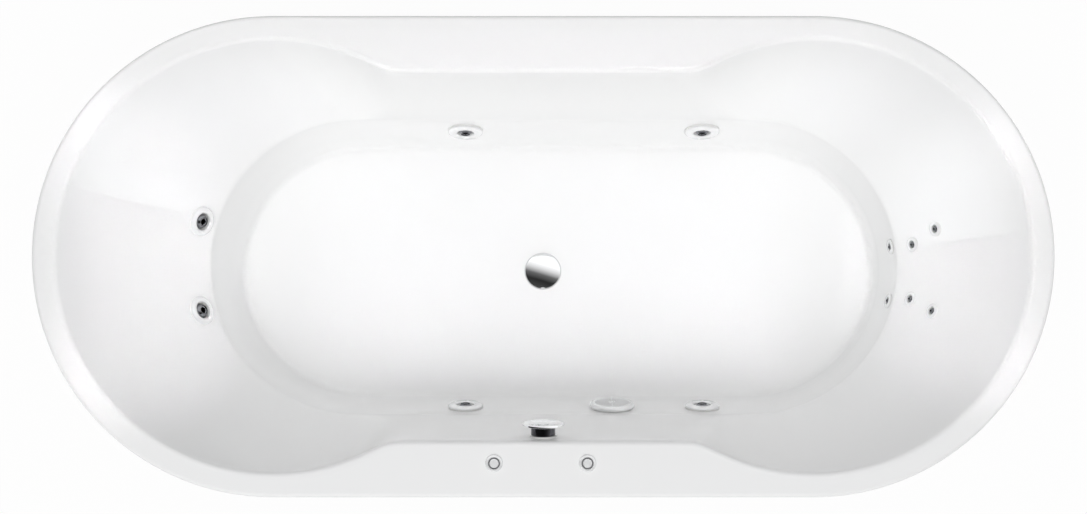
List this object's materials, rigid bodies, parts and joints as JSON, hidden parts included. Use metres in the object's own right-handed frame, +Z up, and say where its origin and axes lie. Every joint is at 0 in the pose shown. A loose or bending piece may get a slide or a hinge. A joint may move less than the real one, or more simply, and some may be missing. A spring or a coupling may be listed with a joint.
{
  "type": "jetted bathtub",
  "caption": "Oval drop-in bathtub with sloping ends, moulded ledge, body jets and small back jets, pump, air and water pipework on a steel frame with levelling feet.",
  "frame": {"origin": "on the floor under the middle of the rim", "axes": "+X along the bath from the foot jets to the back jets, +Y away from the overflow side, +Z up"},
  "size_m": [1.6996, 0.8, 0.605],
  "materials": {
    "acrylic_white": "glossy formed acrylic",
    "fibreglass": "rough sprayed laminate",
    "plywood": "sealed plywood",
    "zinc_steel": "zinc coated steel tube",
    "foot_steel": "zinc plated screw and pad",
    "chrome": "polished chrome",
    "satin_nozzle": "satin chromed plastic",
    "jet_plastic": "white moulded plastic",
    "pipe_grey": "grey rigid pipe",
    "clear_tube": "milky air hose",
    "waste_plastic": "white waste fittings",
    "cable_black": "black cable sheath",
    "motor_paint": "dark painted casting",
    "pump_plastic": "black moulded plastic",
    "rotor_steel": "turned steel",
    "rubber": "black rubber"
  },
  "bodies": {
    "root": {"acrylic_shell": "acrylic_white", "air_lines": "clear_tube", "air_valve_body": "chrome", "base_board": "plywood", "base_frame": "zinc_steel", "bowden_cable": "cable_black", "button_body": "chrome", "fan_cover": "pump_plastic", "fibreglass_backing": "fibreglass", "jet_bodies": "jet_plastic", "jet_locknuts": "jet_plastic", "micro_jet_bodies": "jet_plastic", "micro_jet_riser": "pipe_grey", "micro_locknuts": "jet_plastic", "motor_housing": "motor_paint", "overflow_body": "jet_plastic", "overflow_hose": "waste_plastic", "pump_mounts": "rubber", "pump_shelf": "plywood", "pump_volute": "pump_plastic", "rim_posts": "zinc_steel", "suction_body": "jet_plastic", "suction_cover": "chrome", "suction_pipe": "pipe_grey", "suction_screw": "chrome", "switch_box": "pump_plastic", "waste_body": "waste_plastic", "waste_flange": "chrome", "waste_trap": "waste_plastic", "water_manifold": "pipe_grey", "water_pipes": "pipe_grey"},
    "overflow_knob": {"overflow_knob": "chrome"},
    "waste_plug": {"waste_plug": "chrome"},
    "button_cap": {"button_cap": "chrome"},
    "air_knob": {"air_knob": "chrome"},
    "pump_rotor": {"pump_rotor": "rotor_steel"},
    "jet_ring_1": {"jet_ring_1": "chrome"},
    "jet_nozzle_1": {"jet_nozzle_1": "satin_nozzle"},
    "jet_ring_2": {"jet_ring_2": "chrome"},
    "jet_nozzle_2": {"jet_nozzle_2": "satin_nozzle"},
    "jet_ring_3": {"jet_ring_3": "chrome"},
    "jet_nozzle_3": {"jet_nozzle_3": "satin_nozzle"},
    "jet_ring_4": {"jet_ring_4": "chrome"},
    "jet_nozzle_4": {"jet_nozzle_4": "satin_nozzle"},
    "jet_ring_5": {"jet_ring_5": "chrome"},
    "jet_nozzle_5": {"jet_nozzle_5": "satin_nozzle"},
    "jet_ring_6": {"jet_ring_6": "chrome"},
    "jet_nozzle_6": {"jet_nozzle_6": "satin_nozzle"},
    "micro_nozzle_1": {"micro_nozzle_1": "satin_nozzle"},
    "micro_nozzle_2": {"micro_nozzle_2": "satin_nozzle"},
    "micro_nozzle_3": {"micro_nozzle_3": "satin_nozzle"},
    "micro_nozzle_4": {"micro_nozzle_4": "satin_nozzle"},
    "micro_nozzle_5": {"micro_nozzle_5": "satin_nozzle"},
    "micro_nozzle_6": {"micro_nozzle_6": "satin_nozzle"},
    "leveling_foot_1": {"leveling_foot_1": "foot_steel"},
    "leveling_foot_2": {"leveling_foot_2": "foot_steel"},
    "leveling_foot_3": {"leveling_foot_3": "foot_steel"},
    "leveling_foot_4": {"leveling_foot_4": "foot_steel"},
    "leveling_foot_5": {"leveling_foot_5": "foot_steel"},
    "leveling_foot_6": {"leveling_foot_6": "foot_steel"}
  },
  "joints": [
    {"name": "overflow_knob_turn", "type": "hinge", "parent": "root", "child": "overflow_knob", "pos_m": [0, -0.30122, 0.562], "axis": [0, 0.9917, 0.1283], "range_deg": [0, 120]},
    {"name": "waste_plug_lift", "type": "slide", "parent": "root", "child": "waste_plug", "axis": [0, 0, 1], "range_m": [0, 0.009]},
    {"name": "button_press", "type": "slide", "parent": "root", "child": "button_cap", "axis": [0, 0, -1], "range_m": [0, 0.0035], "stiffness_N_per_m": 400, "springref_m": -0.002},
    {"name": "air_knob_turn", "type": "hinge", "parent": "root", "child": "air_knob", "pos_m": [0.0735, -0.343, 0.6], "axis": [0, 0, 1], "range_deg": [0, 270]},
    {"name": "pump_rotor_spin", "type": "hinge", "parent": "root", "child": "pump_rotor", "pos_m": [-0.75, -0.126, 0.214], "axis": [0, 1, 0], "continuous": true},
    {"name": "jet_ring_turn_1", "type": "hinge", "parent": "root", "child": "jet_ring_1", "pos_m": [-0.147, -0.26346, 0.248], "axis": [0, 0.9759, 0.218], "range_deg": [0, 90]},
    {"name": "jet_nozzle_tilt_1", "type": "hinge", "parent": "jet_ring_1", "child": "jet_nozzle_1", "pos_m": [-0.147, -0.26776, 0.24704], "axis": [-1, 0, 0], "range_deg": [-15, 15]},
    {"name": "jet_ring_turn_2", "type": "hinge", "parent": "root", "child": "jet_ring_2", "pos_m": [0.302, -0.26346, 0.248], "axis": [0, 0.9759, 0.218], "range_deg": [0, 90]},
    {"name": "jet_nozzle_tilt_2", "type": "hinge", "parent": "jet_ring_2", "child": "jet_nozzle_2", "pos_m": [0.302, -0.26776, 0.24704], "axis": [-1, 0, 0], "range_deg": [-15, 15]},
    {"name": "jet_ring_turn_3", "type": "hinge", "parent": "root", "child": "jet_ring_3", "pos_m": [0.302, 0.26346, 0.248], "axis": [0, -0.9759, 0.218], "range_deg": [0, 90]},
    {"name": "jet_nozzle_tilt_3", "type": "hinge", "parent": "jet_ring_3", "child": "jet_nozzle_3", "pos_m": [0.302, 0.26776, 0.24704], "axis": [1, 0, 0], "range_deg": [-15, 15]},
    {"name": "jet_ring_turn_4", "type": "hinge", "parent": "root", "child": "jet_ring_4", "pos_m": [-0.147, 0.26346, 0.248], "axis": [0, -0.9759, 0.218], "range_deg": [0, 90]},
    {"name": "jet_nozzle_tilt_4", "type": "hinge", "parent": "jet_ring_4", "child": "jet_nozzle_4", "pos_m": [-0.147, 0.26776, 0.24704], "axis": [1, 0, 0], "range_deg": [-15, 15]},
    {"name": "jet_ring_turn_5", "type": "hinge", "parent": "root", "child": "jet_ring_5", "pos_m": [-0.62822, 0.0825, 0.338], "axis": [0.8075, -0.2454, 0.5363], "range_deg": [0, 90]},
    {"name": "jet_nozzle_tilt_5", "type": "hinge", "parent": "jet_ring_5", "child": "jet_nozzle_5", "pos_m": [-0.63177, 0.08358, 0.33564], "axis": [0.2908, 0.9568, 0], "range_deg": [-15, 15]},
    {"name": "jet_ring_turn_6", "type": "hinge", "parent": "root", "child": "jet_ring_6", "pos_m": [-0.62822, -0.0825, 0.338], "axis": [0.8075, 0.2454, 0.5363], "range_deg": [0, 90]},
    {"name": "jet_nozzle_tilt_6", "type": "hinge", "parent": "jet_ring_6", "child": "jet_nozzle_6", "pos_m": [-0.63177, -0.08358, 0.33564], "axis": [-0.2908, 0.9568, 0], "range_deg": [-15, 15]},
    {"name": "micro_nozzle_tilt_1", "type": "hinge", "parent": "root", "child": "micro_nozzle_1", "pos_m": [0.6516, -0.06259, 0.2777], "axis": [-0.2299, -0.9732, 0], "range_deg": [-10, 10]},
    {"name": "micro_nozzle_tilt_2", "type": "hinge", "parent": "root", "child": "micro_nozzle_2", "pos_m": [0.65589, 0.04038, 0.2777], "axis": [0.1483, -0.9889, 0], "range_deg": [-10, 10]},
    {"name": "micro_nozzle_tilt_3", "type": "hinge", "parent": "root", "child": "micro_nozzle_3", "pos_m": [0.67581, -0.06149, 0.34482], "axis": [-0.2132, -0.977, 0], "range_deg": [-10, 10]},
    {"name": "micro_nozzle_tilt_4", "type": "hinge", "parent": "root", "child": "micro_nozzle_4", "pos_m": [0.67975, 0.03932, 0.34481], "axis": [0.1363, -0.9907, 0], "range_deg": [-10, 10]},
    {"name": "micro_nozzle_tilt_5", "type": "hinge", "parent": "root", "child": "micro_nozzle_5", "pos_m": [0.70008, -0.08565, 0.40282], "axis": [-0.2803, -0.9599, 0], "range_deg": [-10, 10]},
    {"name": "micro_nozzle_tilt_6", "type": "hinge", "parent": "root", "child": "micro_nozzle_6", "pos_m": [0.70566, 0.06348, 0.40282], "axis": [0.2078, -0.9782, 0], "range_deg": [-10, 10]},
    {"name": "foot_screw_1", "type": "slide", "parent": "root", "child": "leveling_foot_1", "axis": [0, 0, 1], "range_m": [-0.025, 0.02]},
    {"name": "foot_screw_2", "type": "slide", "parent": "root", "child": "leveling_foot_2", "axis": [0, 0, 1], "range_m": [-0.025, 0.02]},
    {"name": "foot_screw_3", "type": "slide", "parent": "root", "child": "leveling_foot_3", "axis": [0, 0, 1], "range_m": [-0.025, 0.02]},
    {"name": "foot_screw_4", "type": "slide", "parent": "root", "child": "leveling_foot_4", "axis": [0, 0, 1], "range_m": [-0.025, 0.02]},
    {"name": "foot_screw_5", "type": "slide", "parent": "root", "child": "leveling_foot_5", "axis": [0, 0, 1], "range_m": [-0.025, 0.02]},
    {"name": "foot_screw_6", "type": "slide", "parent": "root", "child": "leveling_foot_6", "axis": [0, 0, 1], "range_m": [-0.025, 0.02]}
  ],
  "couplings": [
    {"joint": "waste_plug_lift", "follows": "overflow_knob_turn", "m_per_rad": 0.004297}
  ]
}
